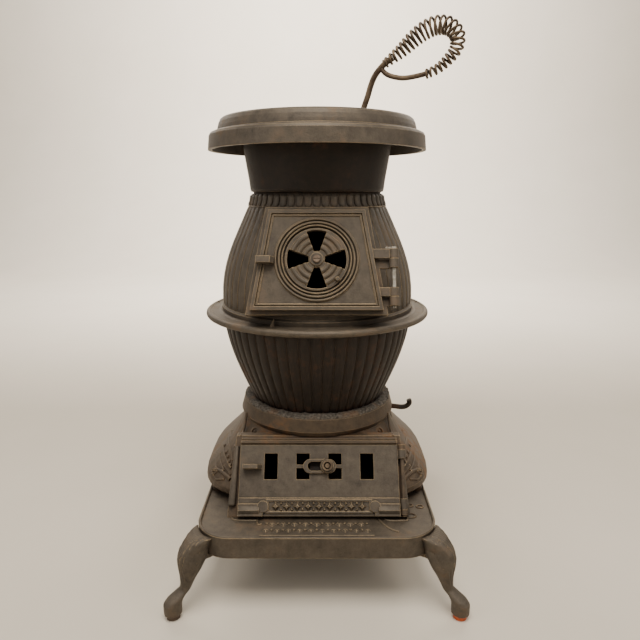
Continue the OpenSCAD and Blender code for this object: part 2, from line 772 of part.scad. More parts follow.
module register_disc() {
    color(iron) on_feed_door() difference() {
        union() {
            translate([0, 0, disc_w]) cylinder(r = register_r, h = disc_t);
            for (r = [17.5, 26, 34.5])
                translate([0, 0, disc_w + disc_t]) ring_bead(r, 3.2, 2.4);
            translate([0, 0, disc_w]) cylinder(r = 9, h = 5);
            rotate([0, 0, -45]) translate([register_r - 3.5, 0, disc_w]) cylinder(r1 = 3.4, r2 = 2.6, h = 11);
        }
        translate([0, 0, -1]) wedge_openings(12);
        translate([0, 0, -1]) cylinder(r = screw_r + run, h = 12);
    }
}

module register_screw() {
    color(steel) on_feed_door() difference() {
        union() {
            translate([0, 0, -door_t - 4]) cylinder(r = screw_r, h = door_t + 10);
            translate([0, 0, disc_w + 5 + gap]) cylinder(r1 = 5.6, r2 = 4.6, h = 2.6);
        }
        block(-6, 6, -0.6, 0.6, disc_w + 7, disc_w + 10);
    }
}

module register_nut() {
    color(steel) on_feed_door() translate([0, 0, -door_t - 3.6]) difference() {
        cylinder(r = 5.5, h = 3.6, $fn = 6);
        translate([0, 0, -1]) cylinder(r = screw_r, h = 6);
    }
}

// ---- Flue collar ----

module at_flue_bolts() {
    for (a = [45, 135, 225, 315])
        translate([flue_bolt_pcr * cos(a), flue_face, flue_z + flue_bolt_pcr * sin(a)])
            rotate([90, 0, 0]) children();
}

module flue_collar() {
    color(iron) difference() {
        union() {
            translate([0, flue_face + flue_flange_t, flue_z]) rotate([90, 0, 0])
                cylinder(r = flue_flange_r, h = flue_flange_t);
            translate([0, flue_face + flue_flange_t + flue_len, flue_z]) rotate([90, 0, 0])
                cylinder(r = flue_r + flue_wall, h = flue_len + 1);
        }
        translate([0, flue_face + flue_flange_t + flue_len + 1, flue_z]) rotate([90, 0, 0])
            cylinder(r = flue_r, h = flue_len + flue_flange_t + 2);
        at_flue_bolts() translate([0, 0, -flue_flange_t - 1]) cylinder(r = flue_bolt_r, h = flue_flange_t + 2);
    }
}

module flue_bolts() {
    color(steel) at_flue_bolts() translate([0, 0, -flue_flange_t])
        hex_bolt(flue_bolt_r, flue_flange_t + 8);
}

// Plate in front of the flue, on two arms that meet the belly's wall
module smoke_baffle() {
    arm = 6;
    arm_h = 20;
    color(dark_iron) intersection() {
        feed_core();
        translate([0, pot_y + belly_r - baffle_stand, baffle_z]) {
            translate([-baffle_half_w, 0, -baffle_half_h])
                cube([2 * baffle_half_w, baffle_t, 2 * baffle_half_h]);
            for (x = [-baffle_half_w, baffle_half_w - arm])
                translate([x, 0, -arm_h]) cube([arm, baffle_stand, arm_h]);
        }
    }
}

// ---- Drum, top plate, lid ----

module drum() {
    lip = 6;
    side = curve([[neck_r + 4.9, drum_z + 6], [neck_r + 7, drum_z + 30],
        [drum_r - 1, drum_z + 50], [drum_r, drum_z + 76]], 6);
    color(dark_iron) revolve(concat(
        [[neck_r - 15, drum_z - lip], [neck_r - 9.6, drum_z - lip], [neck_r - 9.6, drum_z],
         [neck_r - 0.5, drum_z], [neck_r + 0.5, drum_z + 1.6], [neck_r + 3.5, drum_z + 2.4]],
        side, [[drum_r, plate_under], [drum_r - drum_wall, plate_under]],
        back(inward(side, drum_wall)), [[neck_r - 7, drum_z + 7], [neck_r - 15, drum_z + 7]]));
}

module top_plate() {
    seat_r = lid_r + lid_gap;
    color(iron) revolve([[seat_r, top_z], [rim_r - 26.5, top_z], [rim_r - 22, top_z - 1],
        [rim_r - 19.4, top_z - 3], [rim_r - 17, top_z - 8], [rim_r - 15.4, top_z - 14],
        [rim_r - 14.4, top_z - 19.4], [rim_r - 9.4, top_z - 20], [rim_r - 4, top_z - 22.4],
        [rim_r - 2, top_z - 26], [rim_r, rim_z], [rim_r - 5.5, rim_z], [rim_r - 7.6, top_z - 26],
        [rim_r - 20.6, top_z - 25], [rim_r - 25, top_z - 9], [drum_r + 6, plate_under + 3],
        [drum_r + 6, plate_under - 8], [drum_r + 1, plate_under - 8], [drum_r + 1, plate_under],
        [seat_r - 7, plate_under], [seat_r - 7, lid_z], [seat_r, lid_z]]);
}

module lifter_place() {
    translate([lifter_x, lifter_y, top_z - pocket_d]) rotate([0, 0, lifter_a]) children();
}

module lid() {
    color(iron) difference() {
        union() {
            revolve([[0, lid_z + gap], [lid_r, lid_z + gap], [lid_r, top_z - 1.2],
                [lid_r - 1.2, top_z], [0, top_z]]);
            lifter_place() translate([0, 0, lid_z - top_z + pocket_d - 4]) cylinder(r = 18, h = 8);
        }
        lifter_place() translate([-tongue_w / 2 - gap, -tongue_d / 2 - gap, 0])
            cube([tongue_w + 2 * gap, tongue_d + 2 * gap, 20]);
    }
}

// ---- Lid lifter ----

module lifter_shaft() {
    color(tan_steel) lifter_place() {
        translate([-tongue_w / 2, -tongue_d / 2, gap]) cube([tongue_w, tongue_d, 16]);
        difference() {
            bar(route(upper_arm, 28), 4.2, 16);
            translate([-20, -20, pocket_d + gap - 30]) cube([40, 40, 30]);
        }
        bar(route(lower_arm, 20), 3.4, 12);
    }
}

// Distance of the coil's wire from the middle of its bundle, swelling towards the loop's far side
function coil_r(f) = 5 + 6.4 * pow(sin(180 * pow(f, 0.75)), 1.6) + 0.2 * f;
function coil_point(f) = let (p = spline(coil_path, f * (len(coil_path) - 1)),
    q = spline(coil_path, min(f + 0.01, 1) * (len(coil_path) - 1)),
    o = spline(coil_path, max(f - 0.01, 0) * (len(coil_path) - 1)),
    d = unit(q - o), a = 360 * coil_turns * f, r = coil_r(f))
    [[p[0] - r * cos(a) * d[1], r * sin(a), p[1] + r * cos(a) * d[0]],
     [-cos(a) * d[1], sin(a), cos(a) * d[0]]];

module lifter_coil() {
    n = coil_turns * coil_steps;
    rings = [for (i = [0:n]) let (c = coil_point(i / n),
        t = unit(coil_point(min(i + 0.5, n) / n)[0] - coil_point(max(i - 0.5, 0) / n)[0]),
        side = unit(cross(t, c[1])))
        [for (s = [0:5]) c[0] + coil_wire * (cos(60 * s) * c[1] + sin(60 * s) * side)]];
    color(tan_steel) lifter_place() skin(rings);
}

foot_pads();
leg(-1, -1);  // leg_front_left
leg(1, -1);  // leg_front_right
leg(-1, 1);  // leg_rear_left
leg(1, 1);  // leg_rear_right
leg_bolts();
hearth_plate();
ash_pit();
pit_bolts();
ash_door();
ash_door_pin();
draft_slide();
draft_knob();
draft_washer();
draft_nut();
grate();
shaker_handle();
shaker_pin();
fire_pot();
cement_ring();
pot_flange();
feed_section();
feed_door();
feed_door_pin();
register_disc();
register_screw();
register_nut();
flue_collar();
flue_bolts();
smoke_baffle();
drum();
top_plate();
lid();
lifter_shaft();
lifter_coil();
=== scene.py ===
# %% [markdown]
# # A pot-belly wood stove in cast iron
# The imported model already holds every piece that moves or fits: plate, ash pit, pot, doors, lid and
# lifter. This lesson adds what a foundry and a hundred years add to it: flutes, mouldings, leaves,
# carved knees, crumbling cement, rust and worn edges. Everything is in metres, in the model's own
# frame, so no piece needs fitting.

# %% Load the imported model
import json
import math

import bpy
from mathutils import Matrix, Vector, noise
from mathutils.bvhtree import BVHTree


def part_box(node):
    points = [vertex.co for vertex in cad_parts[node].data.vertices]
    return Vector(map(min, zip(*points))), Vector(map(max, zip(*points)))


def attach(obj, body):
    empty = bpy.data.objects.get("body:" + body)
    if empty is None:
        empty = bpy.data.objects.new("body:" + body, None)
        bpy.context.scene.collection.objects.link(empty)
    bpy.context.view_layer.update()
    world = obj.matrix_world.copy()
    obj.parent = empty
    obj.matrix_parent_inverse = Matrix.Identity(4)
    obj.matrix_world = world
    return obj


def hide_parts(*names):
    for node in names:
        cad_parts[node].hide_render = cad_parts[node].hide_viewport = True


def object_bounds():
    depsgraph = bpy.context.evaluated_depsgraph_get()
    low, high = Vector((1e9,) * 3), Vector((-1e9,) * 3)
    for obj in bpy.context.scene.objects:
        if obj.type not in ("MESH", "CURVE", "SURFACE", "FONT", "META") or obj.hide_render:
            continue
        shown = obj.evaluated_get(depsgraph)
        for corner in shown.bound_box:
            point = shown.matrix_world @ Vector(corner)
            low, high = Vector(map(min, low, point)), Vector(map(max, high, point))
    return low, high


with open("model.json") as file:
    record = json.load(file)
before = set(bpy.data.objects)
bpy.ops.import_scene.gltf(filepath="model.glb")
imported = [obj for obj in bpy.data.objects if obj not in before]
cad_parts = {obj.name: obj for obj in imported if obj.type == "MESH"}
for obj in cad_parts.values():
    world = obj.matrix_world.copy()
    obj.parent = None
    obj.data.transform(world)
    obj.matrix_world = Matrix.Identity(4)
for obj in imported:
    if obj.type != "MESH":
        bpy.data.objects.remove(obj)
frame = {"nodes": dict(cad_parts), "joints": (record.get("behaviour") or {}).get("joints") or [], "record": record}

cad_low, cad_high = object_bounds()
nodes = frame["nodes"]
print(f"{len(nodes)} CAD nodes, {1000 * (cad_high.z - cad_low.z):.0f} mm tall")

# %% [markdown]
# ## Places that everything else is measured from
# The round sections share one upright axis, and each casting says by its own box how high it starts and
# ends. Reading those once, under plain names, keeps bare numbers out of the steps that follow.

# %% Read the main places from the frame
MM = 0.001


def middle(node):
    """Middle of a node's box."""
    low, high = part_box(node)
    return (low + high) / 2


plate_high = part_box("hearth_plate")[1]
collar_low, collar_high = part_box("cement_ring")
pot_low, pot_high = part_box("fire_pot")
feed_low, feed_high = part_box("feed_section")
top_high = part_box("top_plate")[1]
pot_axis = Vector((0, middle("lid").y, 0))
pot_above_plate = 112 * MM
plate_top = pot_low.z - pot_above_plate
print("pot axis", [round(c, 4) for c in pot_axis], "plate top", round(plate_top, 4))

# %% [markdown]
# ## Camera
# The stove is seen from in front, a little above the belly and looking slightly down, from less than a
# metre away, so the hearth spreads wide and the rim of the top plate stays open. A lens of about 31 mm
# takes in the whole of it.

# %% Place the camera
eye = Vector((0.0045, -0.863, 0.565))
look_down = math.radians(13.08)
bpy.ops.object.camera_add(location=eye, rotation=(math.radians(90) - look_down, 0, 0))
camera = bpy.context.object
camera.name = "camera"
camera.data.lens = 31.1
camera.data.sensor_width = 36
bpy.context.scene.camera = camera
print("camera at", tuple(round(c, 3) for c in camera.location))

# %% [markdown]
# ## Floor and light
# Cast iron shows its grain only in long, soft highlights, and its weight in the shadows under each
# overhang. So one big lamp hangs high in front, two weaker ones open up the sides, two stand behind for
# the rims, and the room itself stays dim. The floor's far edge is extruded upwards and bevelled into a
# sweep, so that floor and background run into each other, and a last lamp washes that sweep.

# %% Lay the floor and its sweep
bpy.ops.object.select_all(action="DESELECT")
bpy.ops.mesh.primitive_plane_add(size=9, location=(0, 0, cad_low.z))
floor = bpy.context.object
floor.name = "floor"


def mark_floor_edges(wanted):
    """Select the floor's edges whose two ends are both wanted, and go to edit mode."""
    bpy.ops.object.mode_set(mode="EDIT")
    bpy.ops.mesh.select_all(action="DESELECT")
    bpy.ops.object.mode_set(mode="OBJECT")
    for edge in floor.data.edges:
        edge.select = all(wanted(floor.data.vertices[end].co) for end in edge.vertices)
    bpy.ops.object.mode_set(mode="EDIT")


mark_floor_edges(lambda place: place.y > 4)
bpy.ops.mesh.select_mode(type="EDGE")
bpy.ops.mesh.extrude_region_move(TRANSFORM_OT_translate={"value": (0, 0, 4)})
bpy.ops.object.mode_set(mode="OBJECT")
mark_floor_edges(lambda place: place.y > 4 and place.z < 1)
bpy.ops.mesh.bevel(offset=1.6, segments=16, affect="EDGES")
bpy.ops.object.mode_set(mode="OBJECT")
bpy.ops.object.shade_smooth()
print("floor at", round(floor.location.z, 4), "with", len(floor.data.polygons), "faces")

# %% Hang the lamps
lamps = {
    "ceiling": ((0.0, -0.62, 1.85), 1.0, 36.0, (1.0, 0.93, 0.83)),
    "window_left": ((-1.6, -1.0, 1.2), 1.1, 9.0, (1.0, 0.97, 0.93)),
    "window_right": ((1.6, -0.9, 1.3), 1.1, 10.0, (1.0, 0.95, 0.88)),
    "back_left": ((-1.2, 1.4, 1.6), 0.9, 16.0, (1.0, 0.93, 0.84)),
    "back_right": ((1.2, 1.4, 1.6), 0.9, 16.0, (1.0, 0.93, 0.84)),
}
aim = Vector((0, 0, 0.4))
for name, (place, size, power, colour) in lamps.items():
    bpy.ops.object.light_add(type="AREA", location=place)
    lamp = bpy.context.object
    lamp.name = name
    lamp.data.size = size
    lamp.data.energy = power
    lamp.data.color = colour
    lamp.rotation_euler = (aim - Vector(place)).to_track_quat("-Z", "Y").to_euler()
world = bpy.data.worlds.new("room")
bpy.context.scene.world = world
world.use_nodes = True
world.node_tree.nodes["Background"].inputs["Color"].default_value = (1.0, 0.96, 0.9, 1)
world.node_tree.nodes["Background"].inputs["Strength"].default_value = 0.3
bpy.ops.object.light_add(type="AREA", location=(0, 1.9, 2.6), rotation=(math.radians(62), 0, 0))
wash = bpy.context.object
wash.name = "sweep_wash"
wash.data.size = 2.2
wash.data.energy = 420
wash.data.color = (1.0, 0.96, 0.92)
print(len(lamps) + 1, "lamps")

# %% [markdown]
# ## A small language for finishes
# A finish is arithmetic on patterns: rust where it is hollow, bright where it is worn. Writing that
# arithmetic as Python expressions is shorter than wiring nodes by hand, so `Value` wraps one socket and
# every operator on it adds a Math node. `Finish` makes any other node with one method, and mixes
# colours with Mix nodes, because a Math node would turn a colour grey.

# %% Wrap a socket so that arithmetic adds nodes


class Value:
    """One number in a finish. Arithmetic on it adds Math nodes."""

    def __init__(self, finish, socket):
        self.finish = finish
        self.socket = socket

    def math(self, operation, first, second, clamp=False):
        settings = {"operation": operation, "use_clamp": clamp}
        made = self.finish.node("ShaderNodeMath", settings, {0: first, 1: second})
        return Value(self.finish, made.outputs[0])

    def __add__(self, other):
        return self.math("ADD", self, other)

    def __sub__(self, other):
        return self.math("SUBTRACT", self, other)

    def __rsub__(self, other):
        return self.math("SUBTRACT", other, self)

    def __mul__(self, other):
        return self.math("MULTIPLY", self, other)

    __radd__ = __add__
    __rmul__ = __mul__

    def rise(self, start, end):
        """0 below start, 1 above end, smooth between."""
        settings = {"interpolation_type": "SMOOTHSTEP"}
        inputs = {"Value": self, "From Min": start, "From Max": end}
        made = self.finish.node("ShaderNodeMapRange", settings, inputs)
        return Value(self.finish, made.outputs["Result"])

    def clamped(self):
        return self.math("ADD", self, 0.0, clamp=True)


# %% Make a finish and its nodes


class Finish:
    """A material under construction, on Object coordinates in metres."""

    def __init__(self, name):
        self.material = bpy.data.materials.new(name)
        self.material.use_nodes = True
        self.tree = self.material.node_tree
        self.shader = self.tree.nodes["Principled BSDF"]
        self.place = self.node("ShaderNodeTexCoord").outputs["Object"]

    def node(self, kind, settings=None, inputs=None):
        made = self.tree.nodes.new(kind)
        for key, setting in (settings or {}).items():
            setattr(made, key, setting)
        for key, value in (inputs or {}).items():
            if isinstance(value, Value):
                value = value.socket
            if isinstance(value, bpy.types.NodeSocket):
                self.tree.links.new(value, made.inputs[key])
            else:
                made.inputs[key].default_value = value
        return made

    def noise(self, scale, detail=4.0, roughness=0.6, stretch=(1, 1, 1), offset=0.0):
        """Cloudy pattern from 0 to 1, features of about 1 / scale metres."""
        inputs = {"Vector": self.place, "Scale": stretch, "Location": (offset, offset, offset)}
        mapped = self.node("ShaderNodeMapping", None, inputs)
        inputs = {"Vector": mapped.outputs[0], "Scale": scale, "Detail": detail, "Roughness": roughness}
        return Value(self, self.node("ShaderNodeTexNoise", None, inputs).outputs["Fac"])

    def edges(self, radius):
        """1 along sharp edges, fading over about radius metres."""
        rounded = self.node("ShaderNodeBevel", {"samples": 4}, {"Radius": radius})
        surface = self.node("ShaderNodeNewGeometry")
        inputs = {0: rounded.outputs[0], 1: surface.outputs["Normal"]}
        dot = self.node("ShaderNodeVectorMath", {"operation": "DOT_PRODUCT"}, inputs)
        return (1 - Value(self, dot.outputs["Value"])).rise(0.01, 0.12), rounded.outputs[0]

    def openness(self, reach):
        """1 on open surfaces, less in corners and grooves."""
        settings = {"samples": 6, "only_local": False}
        made = self.node("ShaderNodeAmbientOcclusion", settings, {"Distance": reach})
        return Value(self, made.outputs["AO"])

    def mix(self, factor, first, second):
        colours = [(*c, 1.0) if isinstance(c, tuple) else c for c in (first, second)]
        made = self.node("ShaderNodeMix", {"data_type": "RGBA"}, {0: factor, 6: colours[0], 7: colours[1]})
        return made.outputs[2]

    def bump(self, height, depth, normal=None):
        """Height from 0 to 1 as relief of the given depth in metres."""
        inputs = {"Height": height, "Strength": 1.0, "Distance": depth}
        if normal is not None:
            inputs["Normal"] = normal
        return self.node("ShaderNodeBump", None, inputs).outputs["Normal"]

    def wire(self, **sockets):
        for key, value in sockets.items():
            socket = self.shader.inputs[key.replace("_", " ")]
            if isinstance(value, Value):
                value = value.socket
            if isinstance(value, bpy.types.NodeSocket):
                self.tree.links.new(value, socket)
            else:
                socket.default_value = value
        return self.material


# %% [markdown]
# ## Old cast iron
# Sand-cast iron has a fine grain from the mould. Dry rust gives it a warm grey-brown, it turns orange
# where water stood, and polishes to a tan gleam on edges that hands and brushes reach. Corners and
# grooves get painted shade: the colour is darkened where ambient occlusion finds them closed in. One
# recipe covers every casting; its colours and the amount of rust and wear set the pieces apart.

# %% Write the cast iron recipe


def cast_iron(name, pale, dark, rust, rusty, worn, gloss=0.45):
    """Old cast iron. rusty and worn say how much rust it has and how bright its edges are."""
    iron = Finish(name)
    blotch = iron.noise(75, 6, 0.66)
    cloud = iron.noise(13, 5, 0.62, offset=3.1)
    speck = iron.noise(430, 3, 0.7)
    sand = iron.noise(900, 2, 0.6)
    run = iron.noise(85, 4, 0.6, stretch=(1, 1, 0.1))
    edge, rounded = iron.edges(1.4 * MM)
    open_air = iron.openness(16 * MM)
    corner = (1 - open_air).rise(0.12, 0.7)
    lit = 0.5 + 1.3 * (blotch - 0.5) + 0.9 * (cloud - 0.5) + 0.35 * (run - 0.5) + 0.7 * (speck - 0.5)
    body = iron.mix(lit.clamped(), dark, pale)
    spots = (cloud.rise(0.5, 0.66) * blotch.rise(0.42, 0.6) * rusty).clamped()
    body = iron.mix((spots + 0.8 * rusty * corner * blotch.rise(0.38, 0.6)).clamped(), body, rust)
    # Painted shade: corners and grooves that ambient occlusion finds closed in are darkened towards black.
    body = iron.mix((corner * 0.6).clamped(), body, tuple(0.3 * c for c in dark))
    pits = speck.rise(0.6, 0.72)
    body = iron.mix(0.45 * pits, body, tuple(0.35 * c for c in dark))
    gleam = (edge * open_air.rise(0.35, 0.8) * (0.25 + 1.2 * blotch) * worn).clamped()
    body = iron.mix(gleam, body, (0.42, 0.3, 0.16))
    rough = (gloss + 0.25 * (blotch - 0.3) + 0.15 * speck - 0.1 * gleam + 0.25 * spots).clamped()
    relief = iron.bump(0.5 * sand + 0.5 * speck, 0.3 * MM, rounded)
    relief = iron.bump(blotch, 0.5 * MM, relief)
    metal = (0.4 - 0.3 * spots).clamped()
    return iron.wire(Base_Color=body, Roughness=rough, Metallic=metal, Normal=relief)


finishes = {
    "plate_iron": cast_iron("worn_grey_iron", pale=(0.125, 0.1, 0.072), dark=(0.036, 0.028, 0.02),
                            rust=(0.13, 0.065, 0.025), rusty=0.35, worn=1.1),
    # The pot's iron is far darker than the plate's: partly soot, partly painted shade of the overhangs above the
    # pot.
    "pot_iron": cast_iron("sooty_and_shaded_iron", pale=(0.03, 0.019, 0.012), dark=(0.008, 0.006, 0.0045),
                          rust=(0.095, 0.033, 0.01), rusty=0.5, worn=0.4),
    "rust_iron": cast_iron("rusty_iron", pale=(0.12, 0.083, 0.05), dark=(0.034, 0.024, 0.016),
                           rust=(0.155, 0.068, 0.022), rusty=0.7, worn=1.1),
    "soot": cast_iron("dead_soot", pale=(0.006, 0.005, 0.004), dark=(0.003, 0.003, 0.003),
                      rust=(0.01, 0.006, 0.004), rusty=0.2, worn=0.0, gloss=0.8),
}
print("cast iron finishes:", ", ".join(finishes))

# %% [markdown]
# ## Steel, cement and the pad
# The feed door's pin is bright where the knuckles rub it, the lifter is tan oxidised wire, the furnace
# cement is a grey crumbling paste, and the feet stand on pads, of which one still shows its orange-red
# under the dirt.

# %% Write the other finishes


def oxidised_steel(name, pale, dark, metallic, gloss):
    """Steel under a blotchy tarnish, paler along its edges, with painted shade darkening its hollows."""
    steel = Finish(name)
    tarnish = steel.noise(60, 6, 0.7)
    specks = steel.noise(520, 3, 0.7)
    edge, rounded = steel.edges(0.6 * MM)
    open_air = steel.openness(8 * MM)
    body = steel.mix(tarnish.rise(0.35, 0.65), dark, pale)
    # Painted shade: hollows that ambient occlusion finds closed in are darkened.
    body = steel.mix((0.7 * (1 - open_air)).clamped(), body, tuple(0.3 * c for c in dark))
    body = steel.mix((0.5 * edge).clamped(), body, tuple(1.7 * c for c in pale))
    rough = (gloss + 0.25 * tarnish + 0.1 * specks).clamped()
    relief = steel.bump(specks, 0.1 * MM, rounded)
    return steel.wire(Base_Color=body, Roughness=rough, Metallic=metallic, Normal=relief)


def crumbling_cement(name):
    """Grey furnace cement, lumpy and dusty."""
    paste = Finish(name)
    lump = paste.noise(240, 6, 0.75)
    dust = paste.noise(40, 4, 0.6)
    body = paste.mix(lump.rise(0.35, 0.7), (0.03, 0.025, 0.02), (0.17, 0.145, 0.115))
    body = paste.mix(0.5 * dust.rise(0.5, 0.7), body, (0.16, 0.085, 0.04))
    return paste.wire(Base_Color=body, Roughness=0.95, Metallic=0.0, Normal=paste.bump(lump, 1.2 * MM))


def worn_pad(name):
    """Dirty pads, orange-red at the front right foot only."""
    pad = Finish(name)
    dirt = pad.noise(150, 5, 0.7)
    body = pad.mix(dirt.rise(0.45, 0.68), (0.55, 0.1, 0.025), (0.13, 0.04, 0.018))
    sides = pad.node("ShaderNodeSeparateXYZ", None, {0: pad.place})
    right = Value(pad, sides.outputs["X"]).rise(0, 0.1)
    front = (0 - Value(pad, sides.outputs["Y"])).rise(0, 0.1)
    body = pad.mix(right * front, (0.07, 0.045, 0.028), body)
    return pad.wire(Base_Color=body, Roughness=0.7, Metallic=0.0, Normal=pad.bump(dirt, 0.5 * MM))


finishes["bolt_steel"] = oxidised_steel("dull_steel", (0.2, 0.15, 0.11), (0.07, 0.04, 0.025),
                                        metallic=0.55, gloss=0.42)
finishes["pin_steel"] = oxidised_steel("bright_pin", (0.55, 0.51, 0.44), (0.2, 0.17, 0.13),
                                       metallic=0.85, gloss=0.25)
finishes["lifter_steel"] = oxidised_steel("tan_wire", (0.15, 0.105, 0.062), (0.05, 0.03, 0.017),
                                          metallic=0.5, gloss=0.36)
finishes["cement"] = crumbling_cement("furnace_cement")
finishes["foot_pad"] = worn_pad("orange_pad")
print(len(finishes), "finishes in all")

# %% Give every CAD node its finish
for part in frame["record"]["subparts"]:
    mesh = nodes[part["node"]].data
    mesh.materials.clear()
    mesh.materials.append(finishes[part["material_slot"]])
nodes["smoke_baffle"].data.materials[0] = finishes["soot"]
nodes["ash_door_pin"].data.materials[0] = finishes["rust_iron"]
ground = Finish("pale_floor")
wear = ground.noise(3, 4)
ground.wire(Base_Color=ground.mix(wear, (0.58, 0.52, 0.43), (0.64, 0.58, 0.49)), Roughness=0.9)
floor.data.materials.append(ground.material)

# %% [markdown]
# ## Starting and finishing a piece
# Every operator acts on all that is selected, and the imported nodes start out selected, so each piece
# begins with nothing selected. At the end a piece is welded, faced outwards, shaded, given its finish,
# and tied to the body that it moves with. These small helpers keep those steps the same for every
# piece.

# %% Helpers for selecting and finishing


def nothing_selected():
    if bpy.context.object and bpy.context.object.mode != "OBJECT":
        bpy.ops.object.mode_set(mode="OBJECT")
    bpy.ops.object.select_all(action="DESELECT")


def take(piece):
    nothing_selected()
    piece.select_set(True)
    bpy.context.view_layer.objects.active = piece
    return piece


def edit(piece):
    take(piece)
    bpy.ops.object.mode_set(mode="EDIT")
    bpy.ops.mesh.select_all(action="SELECT")


def mark_faces(piece, wanted):
    """Select the faces whose centre is wanted, and go to edit mode."""
    edit(piece)
    bpy.ops.mesh.select_all(action="DESELECT")
    bpy.ops.mesh.select_mode(type="FACE")
    bpy.ops.object.mode_set(mode="OBJECT")
    for face in piece.data.polygons:
        face.select = bool(wanted(face.center))
    bpy.ops.object.mode_set(mode="EDIT")


def settle(piece, name, body, slot, smooth=40):
    """Weld, face outwards, apply the place, shade, and tie the piece to its body and finish."""
    edit(piece)
    bpy.ops.mesh.remove_doubles(threshold=0.00001)
    bpy.ops.mesh.normals_make_consistent(inside=False)
    bpy.ops.object.mode_set(mode="OBJECT")
    bpy.ops.object.transform_apply(location=True, rotation=True, scale=True)
    bpy.ops.object.shade_smooth_by_angle(angle=math.radians(smooth))
    piece.name = piece.data.name = name
    piece.data.materials.clear()
    piece.data.materials.append(finishes[slot])
    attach(piece, body)
    print(f"{name}: {len(piece.data.polygons)} faces, rides on {body}")
    return piece


def joined(pieces):
    """Several loose pieces as one."""
    take(pieces[0])
    for piece in pieces:
        piece.select_set(True)
    bpy.ops.object.join()
    return bpy.context.object


# %% [markdown]
# ## Finding a casting's surface
# A flute or a bead has to lie on the casting's own curve. Instead of writing that curve down again, a
# ray finds it: `drop` gives the first point of a node's wall that a ray meets. On the left side, where
# nothing interrupts the round castings, a level ray gives their radius at any height.

# %% Helpers that find the surface by a ray
walls = {}


def drop(node, start, direction):
    """First point of a node's wall that a ray from start meets."""
    if node not in walls:
        mesh = nodes[node].data
        faces = [face.vertices for face in mesh.polygons]
        walls[node] = BVHTree.FromPolygons([vertex.co for vertex in mesh.vertices], faces)
    hit = walls[node].ray_cast(Vector(start), Vector(direction))
    return hit[0]


def radius_at(node, height):
    return -drop(node, (-1, pot_axis.y, height), (1, 0, 0)).x


for share in (0.1, 0.5, 0.9):
    level = pot_low.z + share * (pot_high.z - pot_low.z)
    print("fire pot radius at", round(level, 3), "is", round(radius_at("fire_pot", level), 4))

# %% [markdown]
# ## The planes of the two doors
# Both doors lean back. Each hinge's axis runs up its door's slope, so the frame's joints give the
# door's plane: u across, v up the slope, w out of the face. What sits on a door is placed in those
# three.

# %% Set up the door planes
joints = {joint["name"]: joint for joint in frame["joints"]}


class DoorPlane:
    """The sloping plane of a door."""

    def __init__(self, origin, up):
        self.origin = Vector(origin)
        self.up = Vector(up).normalized()
        self.out = Vector((1, 0, 0)).cross(self.up)

    def at(self, u, v, w):
        """Point of the row frame, from millimetres across, up the slope and outwards."""
        return self.origin + MM * (u * Vector((1, 0, 0)) + v * self.up + w * self.out)

    def measure(self, point):
        away = (point - self.origin) / MM
        return away.x, away.dot(self.up), away.dot(self.out)

    def turn(self):
        """Rotation that lays a shape's own X, Y and Z along u, v and w."""
        return Matrix((Vector((1, 0, 0)), self.up, self.out)).transposed().to_euler()


ash_hinge = joints["ash_door_swing"]
ash_hinge_across = Vector((122 * MM, 0, 0))
feed_plane = DoorPlane(joints["register_spin"]["pos_m"], joints["feed_door_swing"]["axis"])
ash_plane = DoorPlane(Vector(ash_hinge["pos_m"]) - ash_hinge_across, ash_hinge["axis"])
print("feed door leans", round(math.degrees(math.asin(feed_plane.up.y)), 1), "degrees,",
      "ash door", round(math.degrees(math.asin(ash_plane.up.y)), 1))

# %% [markdown]
# ## Flutes on the pot
# The pot and the feed section are cast with 54 broad ribs and narrow grooves between them, which
# stiffen the wall and shed more heat. A displaced surface would blur them, so one rib is modelled: an
# oval face at the foot is extruded up the outline in steps and widened to keep its share of the circle.
# Spin then sets 54 of them round.

# %% Model one rib and spin it round
RIBS = 54


def ribs(node, low, high, proud, fill, rows, soft_ends=0.6):
    """Upright ribs round the pot axis from low to high, proud of the node's wall by that much."""
    def share(height):
        return fill * math.pi * radius_at(node, height) / RIBS

    heights = [low + (high - low) * row / rows for row in range(rows + 1)]
    spot = Vector((0, pot_axis.y - radius_at(node, low), low))
    nothing_selected()
    bpy.ops.mesh.primitive_circle_add(vertices=12, radius=1, fill_type="NGON", location=spot)
    rib = bpy.context.object
    edit(rib)
    bpy.ops.transform.resize(value=(share(low) * soft_ends, proud * soft_ends, 1), center_override=spot)
    width = soft_ends
    for row, height in enumerate(heights[1:], start=1):
        goal = soft_ends if row == rows else 1.0
        there = Vector((0, pot_axis.y - radius_at(node, height), height))
        bpy.ops.mesh.extrude_region_move(TRANSFORM_OT_translate={"value": there - spot})
        swell = goal / width
        widen = swell * share(height) / share(heights[row - 1])
        bpy.ops.transform.resize(value=(widen, swell, 1), center_override=there)
        spot, width = there, goal
    bpy.ops.mesh.select_all(action="SELECT")
    turn = 2 * math.pi * (RIBS - 1) / RIBS
    bpy.ops.mesh.spin(steps=RIBS - 1, dupli=True, angle=turn, center=pot_axis, axis=(0, 0, 1))
    return rib


pot_ribs = ribs("fire_pot", collar_low.z + 3 * MM, pot_high.z - 1 * MM, 2.2 * MM, 0.9, 16)
settle(pot_ribs, "fire_pot_ribs", "stove", "pot_iron", 60)

# %% [markdown]
# ## Flutes that stop at the door and the flue
# On the feed section the same ribs run from the flange to the neck, but the door's frame and the flue's
# boss interrupt them. They are spun all round first. Then the faces inside the frame and the boss are
# deleted and the cut ribs are filled, so each ends inside solid iron and none hangs in the doorway.

# %% Spin the feed section's ribs and clear the door and the flue
flue_middle = middle("flue_collar")
flue_reach = (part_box("flue_collar")[1].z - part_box("flue_collar")[0].z) / 2 - 3 * MM
door_half, door_foot, door_head, door_taper = 75, -95, 66, 24 / 138


def in_the_way(point):
    """Whether a point lies behind the door's frame or inside the flue's boss."""
    u, v, w = feed_plane.measure(point)
    behind_door = point.y < pot_axis.y and door_foot < v < door_head and abs(u) < door_half - door_taper * v
    in_flue = point.y > pot_axis.y and math.hypot(point.x, point.z - flue_middle.z) < flue_reach
    return behind_door or in_flue


